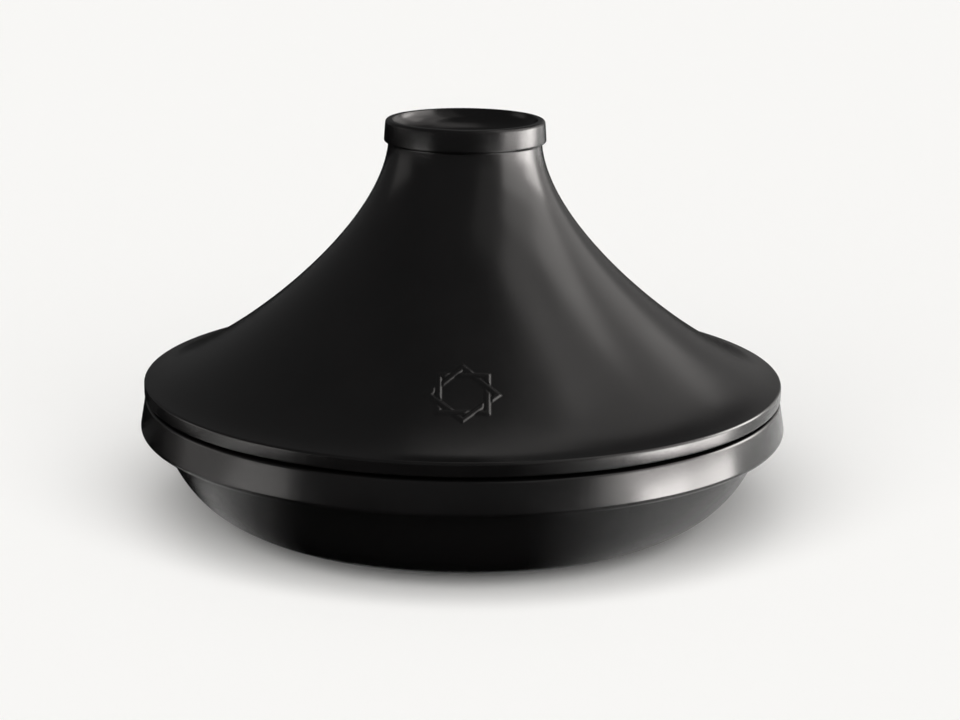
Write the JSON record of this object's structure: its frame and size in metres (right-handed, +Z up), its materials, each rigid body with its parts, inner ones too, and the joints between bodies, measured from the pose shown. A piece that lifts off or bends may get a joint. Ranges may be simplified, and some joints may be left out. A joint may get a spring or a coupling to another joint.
{
  "type": "tagine",
  "caption": "Round ceramic tagine in a black satin glaze: a shallow flat-footed dish with a flared collar, and a tall conical lid with a ring knob that rests on a ledge inside the rim.",
  "frame": {"origin": "middle of the flat foot, on the surface the tagine stands on", "axes": "+Z up through the middle of the knob, +X to the right and -Y towards the viewer; the pot is round, so X and Y differ only by which way it is turned"},
  "size_m": [0.3352, 0.3352, 0.2082],
  "materials": {
    "dish_glaze": "black satin glaze",
    "lid_glaze": "black satin glaze"
  },
  "bodies": {
    "root": {"dish": "dish_glaze", "lid": "lid_glaze"}
  },
  "joints": []
}
